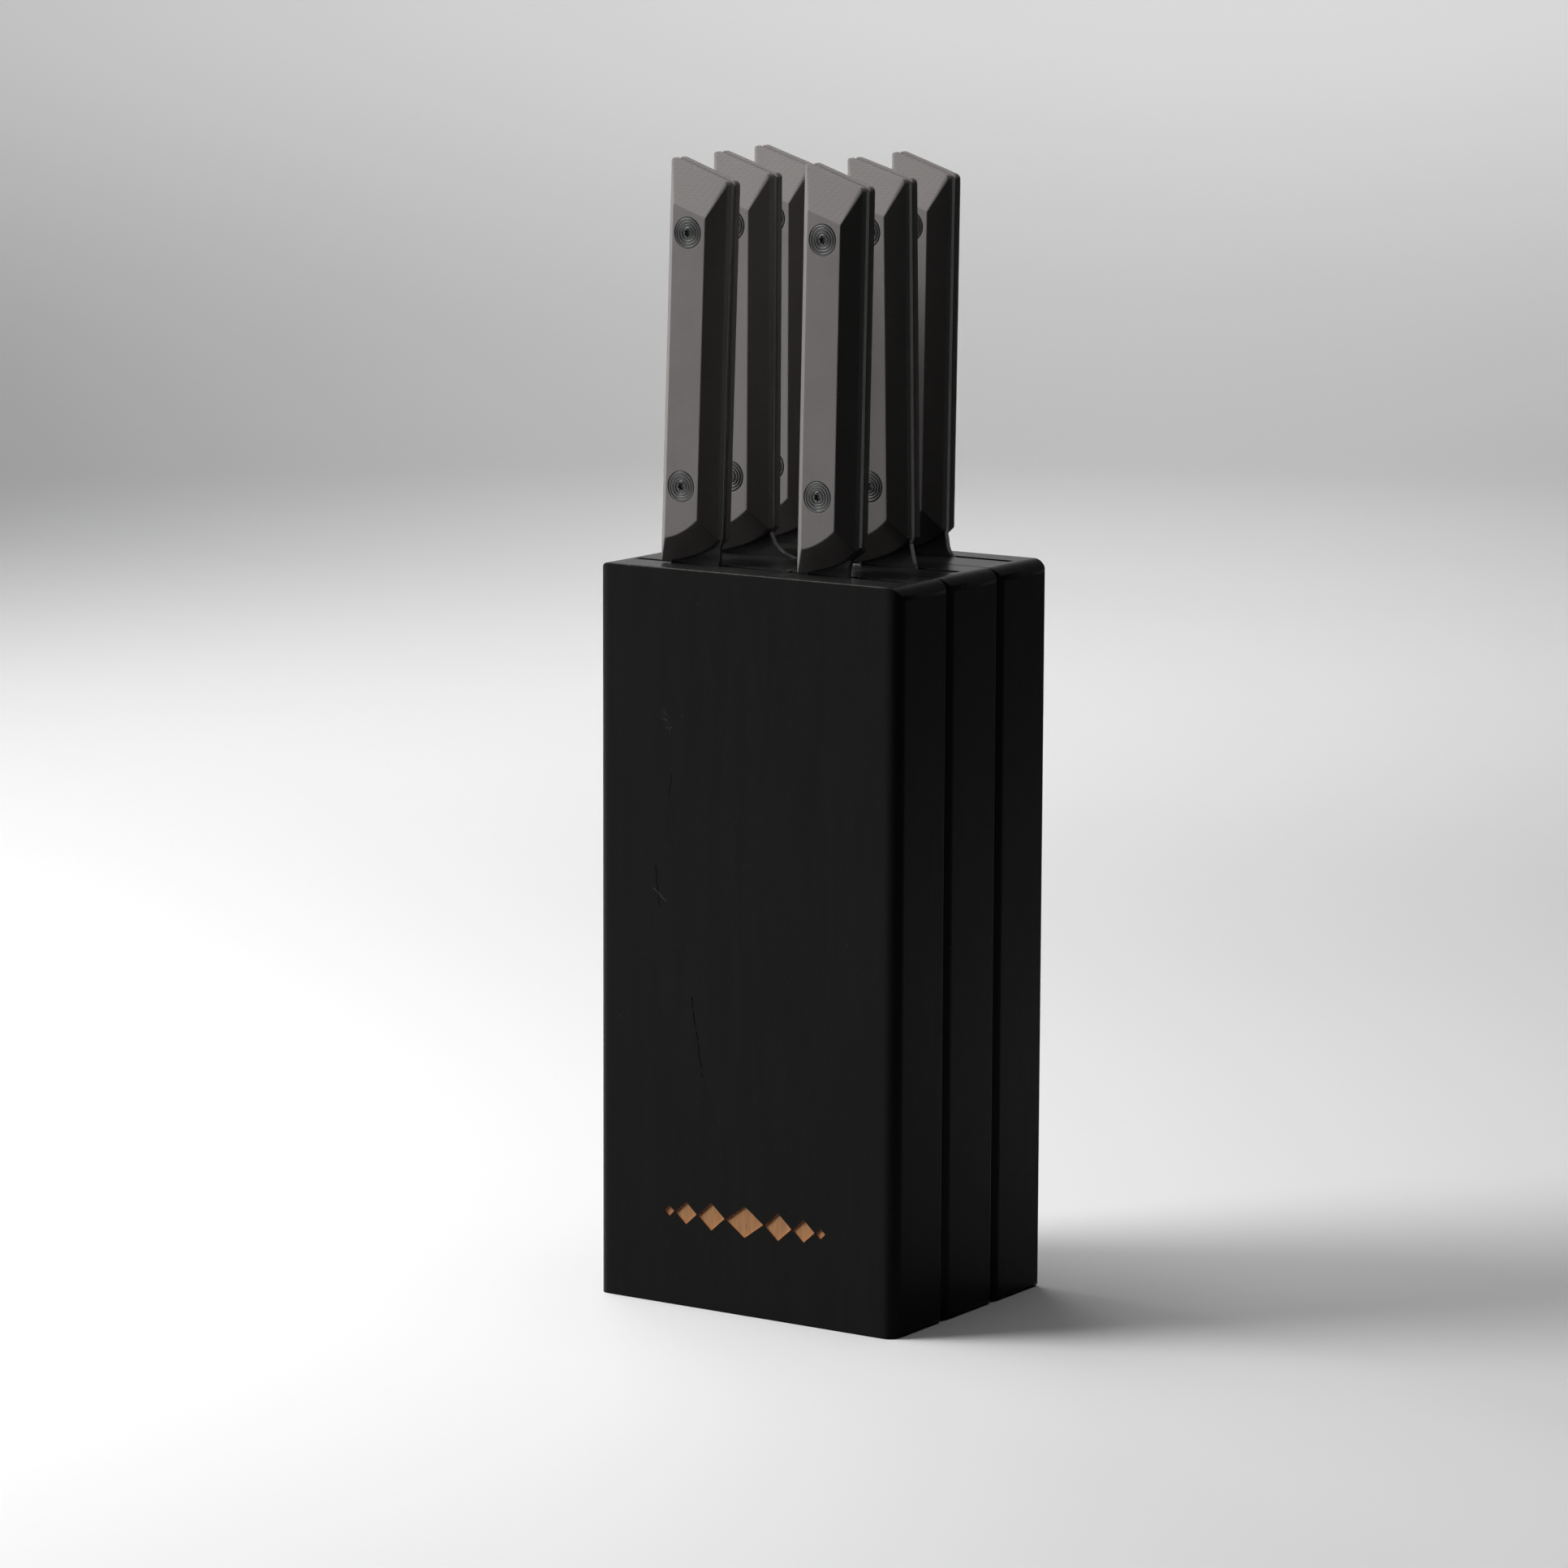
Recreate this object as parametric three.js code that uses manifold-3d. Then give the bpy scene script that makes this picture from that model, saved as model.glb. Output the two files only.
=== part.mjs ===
// Knife block with six knives.
// Frame: millimetres, +Z up, X to the right, the front of the block faces -Y.
// Origin: the centre of the block's underside.
//
// The block is three upright slabs stood one behind the other. Each slab is
// glued up from a front board and a back board with thin strips between them;
// the strips leave two upright slots, one on the left and one on the right.
// Each knife is a full-tang blade with two faceted scales held by two
// screw-and-sleeve-nut fasteners. The knives stand handles up in the slots.
import * as THREE from "three";
import { mergeVertices } from "three/addons/utils/BufferGeometryUtils.js";
import Module from "manifold-3d";

const wasm = await Module();
wasm.setup();

// ------------------------------------------------------------ dimensions
const BLOCK_WIDTH = 112;
const BLOCK_HEIGHT = 235;
const GLUE_GAP = 0.1; // between two glued faces
const SLOT_THICKNESS = 3.0; // clear thickness of a slot, along Y
const SLOT_FLOOR = 12; // height of the solid foot under each slot
const FRONT_EDGE_R = 4.5; // rounding of a slab's upright front edges
const BACK_EDGE_R = 1.0; // rounding of a slab's upright back edges
const TOP_CORNER_R = 4.6; // rounding of the top along the two sides
const FOOT_CORNER_R = 1.5; // rounding of the underside along the two sides
// front face, back face, slot centre and the strips' inner edges of each slab
const SLABS = [
  { name: "front_slab", y0: -43.2, y1: -15.5, slot: -29.5, divider: [4, 7] },
  { name: "middle_slab", y0: -15.3, y1: 14.1, slot: 0.3, divider: [4, 7] },
  { name: "rear_slab", y0: 14.3, y1: 43.2, slot: 31.6, divider: [-1, 2] },
];
const SLOT_LEFT = -50; // left end of the left slots
const SLOT_RIGHT = 50.2; // right end of the right slots

const TANG_T = 1.9; // thickness of the blade stock
const SCALE_GAP = 0.1; // between tang and scale
const LAND_T = 2.55; // straight-sided part of a scale, next to the tang
const CROWN_T = 5.15; // faceted part of a scale, outside the land
const HANDLE_W = 21.0; // spine side to cutting-edge side
const BUTT_Z = 126.5; // height of the butt at the spine side
const BUTT_SLOPE = -0.317; // the butt falls towards the cutting-edge side
const BUTT_R = 1.8; // cutting-edge corner of the butt
const BUTT_SPINE_R = 0.7; // spine-side corner of the butt
const TANG_SPINE_R = 5; // the tang falls away behind the spine-side corner
const CREST_DROP = 12.4; // from the butt down to the flat of the scale
const CREST_X0 = 4.5; // flat of the scale, spine side
const CREST_X1 = 16.5; // flat of the scale, cutting-edge side
// underside of the handle: outer arc on the land, inner arc on the flat
const FOOT_ARC = [[0, 0.05], [3.8, 0.6], [7.6, 1.5], [11.6, 2.75], [15.2, 4.2], [18.3, 6.1], [21, 8.6]];
const CREST_ARC = [[4.5, 8.3], [6.9, 8.95], [9.2, 9.85], [11.3, 11.0], [13.2, 12.25], [15.0, 13.65], [16.5, 15.0]];

const FASTENER_X = 10.2;
const FASTENER_Z = [25.0, 103.9];
const HEAD_D = 9.5;
const HEAD_T = 2.0;
const SLEEVE_D = 5.6;
const SHANK_D = 3.0;
const FIT = 0.15; // radial clearance of fasteners in their holes
const ROUND = 16;
const HANDLE_REST = 0.3; // clearance under the resting corner of each handle

// Blades, in knife coordinates: x from the spine side of the handle, z up from
// the block's top. Each outline runs down the cutting-edge side from the
// handle, round the tip and back up the spine.
const BLADES = {
  utility: [
    [20.1, 6.0], [20.1, 0], [20.1, -12], [20.3, -16], [20.0, -60], [18.6, -95], [15.4, -122], [10.8, -140], [4.4, -152],
    [3.2, -150], [2.4, -130], [1.9, -80], [1.8, -20],
  ],
  paring: [
    [18.6, 6.2], [17.9, 5.0], [17.3, 2.2], [17.3, -0.6], [18.4, -4], [20.6, -7.5], [20.4, -30], [18.8, -58], [15.2, -80], [9.6, -96], [4.2, -104],
    [3.0, -102], [2.2, -84], [1.8, -50], [1.8, -15],
  ],
  chef: [
    [20.3, 7.2], [20.9, 5.8], [21.9, 3.8], [23.1, 2.6], [24.9, 1.5], [27.1, 0.6], [30.5, -0.6], [36, -2.2], [41.2, -3.6], [41.9, -5.2], [41.6, -40], [39.6, -90], [35.2, -130], [28.2, -164], [18.6, -190], [5.0, -207],
    [3.6, -205], [2.4, -170], [1.9, -110], [1.8, -20],
  ],
  carving: [
    [20.3, 6.8], [20.5, 6.0], [21.2, 2.5], [21.8, 0.3], [23.6, -5], [26.4, -9.5], [29.2, -12.0], [29.6, -14], [29.4, -60], [28.0, -120], [23.8, -160], [16.2, -186], [5.0, -203],
    [3.6, -201], [2.4, -170], [1.9, -110], [1.8, -20],
  ],
  bread: [
    [20.3, 6.8], [20.6, 4.0], [21.6, 0.5], [24.0, -3.5], [27.4, -6.4], [31.0, -8.2], [31.5, -10], [31.4, -60], [30.9, -120], [29.0, -170], [23.6, -192], [14.0, -203], [5.4, -207],
    [3.6, -204], [2.4, -170], [1.9, -110], [1.8, -20],
  ],
  santoku: [
    [20.6, 7.2], [21.0, 5.6], [21.4, 3.1], [22.0, 1.6], [23.1, 0.2], [25.6, -1.2], [31, -3.0], [38.6, -5.0], [39.8, -6.6], [39.8, -50], [39.2, -110], [37.0, -145], [32.6, -166], [27.0, -176],
    [22.0, -174], [13.0, -163], [6.4, -148], [3.2, -128], [1.9, -90], [1.8, -20],
  ],
};

// place of each knife: x of the handle's spine-side foot, slab, lean in degrees
const KNIVES = [
  { name: "utility_knife", blade: "utility", x: -38.6, slab: 0, lean: 1.75 },
  { name: "chef_knife", blade: "chef", x: -39.5, slab: 1, lean: 0.15 },
  { name: "bread_knife", blade: "bread", x: -44.8, slab: 2, lean: 0.0 },
  { name: "paring_knife", blade: "paring", x: 12.4, slab: 0, lean: 1.05 },
  { name: "carving_knife", blade: "carving", x: 12.95, slab: 1, lean: -1.0 },
  { name: "santoku_knife", blade: "santoku", x: 5.7, slab: 2, lean: 0.66 },
];

// ------------------------------------------------------------ materials
const paintedWood = () => new THREE.MeshStandardMaterial({ color: 0x1b1a19, roughness: 0.5, metalness: 0 });
const laminate = () => new THREE.MeshStandardMaterial({ color: 0x4a4645, roughness: 0.75, metalness: 0 });
const coatedSteel = () => new THREE.MeshStandardMaterial({ color: 0x26272a, roughness: 0.45, metalness: 0.9 });
const darkSteel = () => new THREE.MeshStandardMaterial({ color: 0x5c625f, roughness: 0.3, metalness: 1 });

// ------------------------------------------------------------ helpers
const solid = (geometry) => {
  const g = geometry.clone();
  g.deleteAttribute("normal");
  g.deleteAttribute("uv");
  const m = mergeVertices(g, 1e-4);
  return new wasm.Manifold(
    new wasm.Mesh({
      numProp: 3,
      vertProperties: new Float32Array(m.attributes.position.array),
      triVerts: new Uint32Array(m.index.array),
    }),
  );
};
const geometryOf = (manifold) => {
  const m = manifold.getMesh();
  const n = m.numProp;
  const v = new Float32Array(m.numVert * 3);
  for (let i = 0; i < m.numVert; i++) v.set(m.vertProperties.subarray(i * n, i * n + 3), i * 3);
  const g = new THREE.BufferGeometry();
  g.setAttribute("position", new THREE.BufferAttribute(v, 3));
  g.setIndex(new THREE.BufferAttribute(m.triVerts, 1));
  g.computeVertexNormals();
  return g;
};
const shapeOf = (points) => new THREE.Shape(points.map(([x, y]) => new THREE.Vector2(x, y)));

// An outline in X and Z, drawn out along Y from y0 to y1.
const drawnAlongY = (points, y0, y1) => {
  const g = new THREE.ExtrudeGeometry(shapeOf(points), { depth: y1 - y0, steps: 1, bevelEnabled: false });
  g.rotateX(Math.PI / 2); // (x, y, z) -> (x, -z, y)
  g.translate(0, y1, 0);
  return g;
};

// A polygon whose corners carry radii: [x, y, r], n points on each arc.
const rounded = (corners, n) => {
  const out = [];
  corners.forEach(([x, y, r], i) => {
    if (!r) {
      out.push([x, y]);
      return;
    }
    const a = new THREE.Vector2(...corners[(i + corners.length - 1) % corners.length].slice(0, 2));
    const b = new THREE.Vector2(...corners[(i + 1) % corners.length].slice(0, 2));
    const p = new THREE.Vector2(x, y);
    const u = a.sub(p).normalize();
    const v = b.sub(p).normalize();
    const half = Math.acos(THREE.MathUtils.clamp(u.dot(v), -1, 1)) / 2;
    const centre = p.clone().add(u.clone().add(v).normalize().multiplyScalar(r / Math.sin(half)));
    const start = p.clone().addScaledVector(u, r / Math.tan(half)).sub(centre);
    const end = p.clone().addScaledVector(v, r / Math.tan(half)).sub(centre);
    let sweep = end.angle() - start.angle();
    if (sweep > Math.PI) sweep -= 2 * Math.PI;
    if (sweep < -Math.PI) sweep += 2 * Math.PI;
    for (let k = 0; k <= n; k++) {
      const t = start.angle() + (sweep * k) / n;
      out.push([centre.x + r * Math.cos(t), centre.y + r * Math.sin(t)]);
    }
  });
  return out;
};

const root = new THREE.Group();
const addMesh = (parent, name, geometry, material) => {
  const mesh = new THREE.Mesh(geometry, material);
  mesh.name = name;
  parent.add(mesh);
  return mesh;
};

// ------------------------------------------------------------ block
const HALF = BLOCK_WIDTH / 2;
const boardFace = rounded(
  [
    [-HALF, 0, FOOT_CORNER_R],
    [HALF, 0, FOOT_CORNER_R],
    [HALF, BLOCK_HEIGHT, TOP_CORNER_R],
    [-HALF, BLOCK_HEIGHT, TOP_CORNER_R],
  ],
  6,
);
const board = (y0, y1, frontR, backR) => {
  const face = drawnAlongY(boardFace, y0, y1);
  const plan = new THREE.ExtrudeGeometry(
    shapeOf(
      rounded(
        [
          [-HALF, y0, frontR],
          [HALF, y0, frontR],
          [HALF, y1, backR],
          [-HALF, y1, backR],
        ],
        6,
      ),
    ),
    { depth: BLOCK_HEIGHT + 2, steps: 1, bevelEnabled: false },
  );
  plan.translate(0, 0, -1);
  return geometryOf(solid(face).intersect(solid(plan)));
};

for (const s of SLABS) {
  const slab = new THREE.Group();
  root.add(slab);
  const f = s.slot - SLOT_THICKNESS / 2;
  const b = s.slot + SLOT_THICKNESS / 2;
  addMesh(slab, s.name + "_front_board", board(s.y0, f - GLUE_GAP, FRONT_EDGE_R, 0), paintedWood());
  addMesh(slab, s.name + "_back_board", board(b + GLUE_GAP, s.y1, 0, BACK_EDGE_R), paintedWood());
  const z0 = SLOT_FLOOR + GLUE_GAP;
  const sideStrip = (inner, side) =>
    drawnAlongY(
      rounded(
        side < 0
          ? [[-HALF, z0, 0], [inner, z0, 0], [inner, BLOCK_HEIGHT, 0], [-HALF, BLOCK_HEIGHT, TOP_CORNER_R]]
          : [[inner, z0, 0], [HALF, z0, 0], [HALF, BLOCK_HEIGHT, TOP_CORNER_R], [inner, BLOCK_HEIGHT, 0]],
        6,
      ),
      f,
      b,
    );
  addMesh(slab, s.name + "_left_strip", sideStrip(SLOT_LEFT, -1), paintedWood());
  addMesh(slab, s.name + "_right_strip", sideStrip(SLOT_RIGHT, 1), paintedWood());
  const [d0, d1] = s.divider;
  const divider = new THREE.BoxGeometry(d1 - d0, SLOT_THICKNESS, BLOCK_HEIGHT - z0);
  const mid = addMesh(slab, s.name + "_middle_strip", divider, paintedWood());
  mid.position.set((d0 + d1) / 2, s.slot, (BLOCK_HEIGHT + z0) / 2);
  addMesh(
    slab,
    s.name + "_bottom_strip",
    drawnAlongY(
      rounded([[-HALF, 0, FOOT_CORNER_R], [HALF, 0, FOOT_CORNER_R], [HALF, SLOT_FLOOR, 0], [-HALF, SLOT_FLOOR, 0]], 4),
      f,
      b,
    ),
    paintedWood(),
  );
}

// ------------------------------------------------------------ knives
const butt = (x) => BUTT_Z + BUTT_SLOPE * x;

// Handle outline on the land, and the matching outline on the flat.
const landOutline = rounded(
  [
    ...FOOT_ARC.map(([x, z]) => [x, z, 0]),
    [HANDLE_W, butt(HANDLE_W), BUTT_R],
    [0, butt(0), BUTT_SPINE_R],
  ],
  5,
);
const crestOutline = rounded(
  [
    ...CREST_ARC.map(([x, z]) => [x, z, 0]),
    [CREST_X1, butt(CREST_X1) - CREST_DROP, 0.3],
    [CREST_X0, butt(CREST_X0) - CREST_DROP, 0.3],
  ],
  5,
);

const cylinderAlongY = (x, z, y0, y1, d) => {
  const g = new THREE.CylinderGeometry(d / 2, d / 2, y1 - y0, ROUND);
  g.translate(x, (y0 + y1) / 2, z);
  return g;
};

const mirroredInY = (geometry) => {
  const g = geometry.clone();
  g.scale(1, -1, 1);
  const index = g.index.array;
  for (let i = 0; i < index.length; i += 3) [index[i + 1], index[i + 2]] = [index[i + 2], index[i + 1]];
  return g;
};

const INNER = TANG_T / 2 + SCALE_GAP; // inner face of a scale
const OUTER = INNER + LAND_T + CROWN_T; // flat of a scale

const frontScale = (() => {
  const g = new THREE.ExtrudeGeometry(shapeOf(landOutline), { depth: 2, steps: 2, bevelEnabled: false });
  const p = g.attributes.position;
  for (let i = 0; i < p.count; i++) {
    const x = p.getX(i);
    const z = p.getY(i);
    const level = Math.round(p.getZ(i));
    const k = landOutline.findIndex(([a, b]) => Math.hypot(a - x, b - z) < 1e-4);
    const [tx, tz] = level === 2 ? crestOutline[k] : landOutline[k];
    const depth = [INNER, INNER + LAND_T, OUTER][level];
    p.setXYZ(i, tx, -depth, tz);
  }
  let s = solid(g);
  for (const z of FASTENER_Z) {
    s = s.subtract(solid(cylinderAlongY(FASTENER_X, z, -OUTER - 1, 0, SLEEVE_D + 2 * FIT)));
    s = s.subtract(solid(cylinderAlongY(FASTENER_X, z, -OUTER - 1, -OUTER + HEAD_T + FIT, HEAD_D + 2 * FIT)));
  }
  return geometryOf(s);
})();
const backScale = mirroredInY(frontScale);

// A profile of [radius, y] turned about the fastener's axis, which lies along Y.
const turned = (profile) => {
  const g = new THREE.LatheGeometry(profile.map(([r, y]) => new THREE.Vector2(r, y)), ROUND);
  return g;
};
// screw: flush head on the front, shank into the sleeve nut, star socket
const screw = (() => {
  const head = turned([
    [0, -OUTER],
    [HEAD_D / 2 - 0.35, -OUTER],
    [HEAD_D / 2, -OUTER + 0.35],
    [HEAD_D / 2, -OUTER + HEAD_T],
    [SHANK_D / 2, -OUTER + HEAD_T],
    [SHANK_D / 2, 3.6],
    [0, 3.6],
  ]);
  const star = [];
  for (let k = 0; k < 12; k++) {
    const r = k % 2 ? 1.0 : 1.55;
    star.push([r * Math.cos((k * Math.PI) / 6), r * Math.sin((k * Math.PI) / 6)]);
  }
  const socket = drawnAlongY(star, -OUTER - 1, -OUTER + 1.3);
  return geometryOf(solid(head).subtract(solid(socket)));
})();
// sleeve nut: flush head on the back, bored for the screw
const nut = (() => {
  const y1 = OUTER;
  const body = turned([
    [0, 4.2],
    [SHANK_D / 2 + FIT, 4.2],
    [SHANK_D / 2 + FIT, -OUTER + HEAD_T + 0.25],
    [SLEEVE_D / 2, -OUTER + HEAD_T + 0.25],
    [SLEEVE_D / 2, y1 - HEAD_T],
    [HEAD_D / 2, y1 - HEAD_T],
    [HEAD_D / 2, y1 - 0.35],
    [HEAD_D / 2 - 0.35, y1],
    [0, y1],
  ]);
  return geometryOf(solid(body));
})();

const bladeOf = (edge) => {
  // tang, from the spine side round the butt and down the cutting-edge side
  const tang = rounded(
    [
      [1.8, 0.9, 0],
      [0.3, 2.6, 0],
      [0.3, butt(0.3) - 0.6, TANG_SPINE_R],
      [HANDLE_W - 0.1, butt(HANDLE_W) - 0.6, BUTT_R],
      [HANDLE_W - 0.1, 9.4, 0],
    ],
    5,
  );
  let s = solid(drawnAlongY([...tang, ...edge], -TANG_T / 2, TANG_T / 2));
  for (const z of FASTENER_Z)
    s = s.subtract(solid(cylinderAlongY(FASTENER_X, z, -TANG_T, TANG_T, SLEEVE_D + 2 * FIT)));
  return geometryOf(s);
};

for (const k of KNIVES) {
  const knife = new THREE.Group();
  knife.position.set(k.x, SLABS[k.slab].slot, BLOCK_HEIGHT + HANDLE_REST);
  knife.rotation.y = THREE.MathUtils.degToRad(k.lean);
  root.add(knife);
  addMesh(knife, k.name + "_blade", bladeOf(BLADES[k.blade]), coatedSteel());
  addMesh(knife, k.name + "_front_scale", frontScale.clone(), laminate());
  addMesh(knife, k.name + "_back_scale", backScale.clone(), laminate());
  FASTENER_Z.forEach((z, i) => {
    const which = i ? "_upper" : "_lower";
    const a = addMesh(knife, k.name + which + "_screw", screw.clone(), darkSteel());
    a.position.set(FASTENER_X, 0, z);
    const b = addMesh(knife, k.name + which + "_nut", nut.clone(), darkSteel());
    b.position.set(FASTENER_X, 0, z);
  });
}

export default root;
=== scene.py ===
import math

import bmesh
import bpy
from mathutils import Matrix, Vector


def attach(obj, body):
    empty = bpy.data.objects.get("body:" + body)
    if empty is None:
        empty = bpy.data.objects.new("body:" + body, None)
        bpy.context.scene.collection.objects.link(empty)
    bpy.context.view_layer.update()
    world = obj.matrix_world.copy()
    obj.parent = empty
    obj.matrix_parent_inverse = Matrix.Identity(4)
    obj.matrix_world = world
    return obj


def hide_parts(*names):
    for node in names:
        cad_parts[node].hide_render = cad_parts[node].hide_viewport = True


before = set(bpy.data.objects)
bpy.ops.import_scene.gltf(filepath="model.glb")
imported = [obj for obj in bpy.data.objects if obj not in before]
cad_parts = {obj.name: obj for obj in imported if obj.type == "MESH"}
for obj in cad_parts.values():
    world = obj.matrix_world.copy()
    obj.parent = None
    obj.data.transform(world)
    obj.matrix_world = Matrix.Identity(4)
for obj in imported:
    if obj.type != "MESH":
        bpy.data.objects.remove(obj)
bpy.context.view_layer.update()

MM = 0.001

# ------------------------------------------------------------------ sizes, mm
# They repeat the sizes of the CAD part, in its own frame.
HALF_W, HEIGHT = 56.0, 235.0
SLOT_HALF, SLOT_FLOOR = 1.5, 12.0
SLABS = [
    ("front_slab", -43.2, -15.5, -29.5, (4.0, 7.0)),
    ("middle_slab", -15.3, 14.1, 0.3, (4.0, 7.0)),
    ("rear_slab", 14.3, 43.2, 31.6, (-1.0, 2.0)),
]
SLOT_LEFT, SLOT_RIGHT = -50.0, 50.2
R_FRONT, R_BACK, R_TOP, R_FOOT = 4.5, 1.0, 4.6, 1.5

TANG_T, SCALE_GAP, LAND_T, CROWN_T = 1.9, 0.1, 2.55, 5.15
HANDLE_W, BUTT_Z, BUTT_SLOPE = 21.0, 126.5, -0.317
CREST_DROP, CREST_X0, CREST_X1 = 12.4, 4.5, 16.5
FOOT_ARC = [(0, 0.05), (3.8, 0.6), (7.6, 1.5), (11.6, 2.75), (15.2, 4.2), (18.3, 6.1), (21, 8.6)]
CREST_ARC = [(4.5, 8.3), (6.9, 8.95), (9.2, 9.85), (11.3, 11.0), (13.2, 12.25), (15.0, 13.65), (16.5, 15.0)]
FASTENER_X, FASTENER_Z = 10.2, (25.0, 103.9)
HANDLE_REST = 0.3
INNER = TANG_T / 2 + SCALE_GAP
LAND = INNER + LAND_T
OUTER = LAND + CROWN_T

BLADES = {
    "utility": ([(20.1, 6.0), (20.1, 0), (20.1, -12), (20.3, -16), (20.0, -60), (18.6, -95), (15.4, -122), (10.8, -140), (4.4, -152)],
                [(3.2, -150), (2.4, -130), (1.9, -80), (1.8, -20)]),
    "paring": ([(18.6, 6.2), (17.9, 5.0), (17.3, 2.2), (17.3, -0.6), (18.4, -4), (20.6, -7.5), (20.4, -30), (18.8, -58), (15.2, -80), (9.6, -96), (4.2, -104)],
               [(3.0, -102), (2.2, -84), (1.8, -50), (1.8, -15)]),
    "chef": ([(20.3, 7.2), (20.9, 5.8), (21.9, 3.8), (23.1, 2.6), (24.9, 1.5), (27.1, 0.6), (30.5, -0.6), (36, -2.2), (41.2, -3.6), (41.9, -5.2), (41.6, -40), (39.6, -90), (35.2, -130), (28.2, -164), (18.6, -190), (5.0, -207)],
             [(3.6, -205), (2.4, -170), (1.9, -110), (1.8, -20)]),
    "carving": ([(20.3, 6.8), (20.5, 6.0), (21.2, 2.5), (21.8, 0.3), (23.6, -5), (26.4, -9.5), (29.2, -12.0), (29.6, -14), (29.4, -60), (28.0, -120), (23.8, -160), (16.2, -186), (5.0, -203)],
                [(3.6, -201), (2.4, -170), (1.9, -110), (1.8, -20)]),
    "bread": ([(20.3, 6.8), (20.6, 4.0), (21.6, 0.5), (24.0, -3.5), (27.4, -6.4), (31.0, -8.2), (31.5, -10), (31.4, -60), (30.9, -120), (29.0, -170), (23.6, -192), (14.0, -203), (5.4, -207)],
              [(3.6, -204), (2.4, -170), (1.9, -110), (1.8, -20)]),
    "santoku": ([(20.6, 7.2), (21.0, 5.6), (21.4, 3.1), (22.0, 1.6), (23.1, 0.2), (25.6, -1.2), (31, -3.0), (38.6, -5.0), (39.8, -6.6), (39.8, -50), (39.2, -110), (37.0, -145), (32.6, -166), (27.0, -176)],
                [(22.0, -174), (13.0, -163), (6.4, -148), (3.2, -128), (1.9, -90), (1.8, -20)]),
}
# first index of the cutting edge, and the width of the ground face
GRINDS = {"utility": (3, 8.0), "paring": (5, 7.5), "chef": (9, 19.0), "carving": (7, 11.0), "bread": (6, 9.0), "santoku": (8, 15.0)}
KNIVES = [
    ("utility_knife", "utility", -38.6, -29.5, 1.75),
    ("chef_knife", "chef", -39.5, 0.3, 0.15),
    ("bread_knife", "bread", -44.8, 31.6, 0.0),
    ("paring_knife", "paring", 12.4, -29.5, 1.05),
    ("carving_knife", "carving", 12.95, 0.3, -1.0),
    ("santoku_knife", "santoku", 5.7, 31.6, 0.66),
]


def butt(x):
    return BUTT_Z + BUTT_SLOPE * x


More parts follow.
